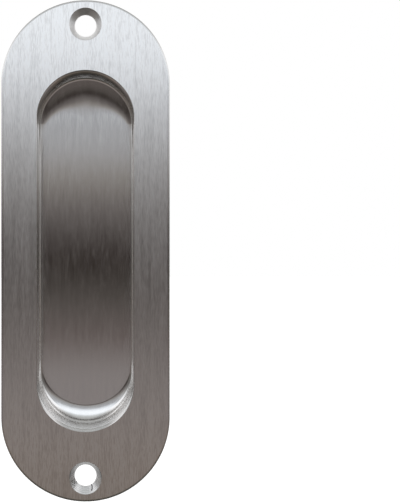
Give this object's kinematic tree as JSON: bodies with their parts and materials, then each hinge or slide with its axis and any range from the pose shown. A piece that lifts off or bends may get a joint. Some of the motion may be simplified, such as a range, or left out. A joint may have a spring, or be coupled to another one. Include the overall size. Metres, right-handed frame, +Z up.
{
  "type": "pocket door pull",
  "caption": "Flush oval pull for a sliding door: a flat brushed steel plate with round ends and countersunk screw holes, and a drawn finger recess behind its opening.",
  "frame": {"origin": "midway between the two screw holes, in the plane of the plate's back, which bears on the door", "axes": "+Z up the door along the plate, -Y out of the door towards the hand, +X to the right as seen from the front"},
  "size_m": [0.0404, 0.0083, 0.12],
  "materials": {
    "brushed_plate": "stainless steel, brushed along its length",
    "satin_cup": "stainless steel, satin, drawn"
  },
  "bodies": {
    "root": {"face_plate": "brushed_plate", "recess_cup": "satin_cup"}
  },
  "joints": []
}
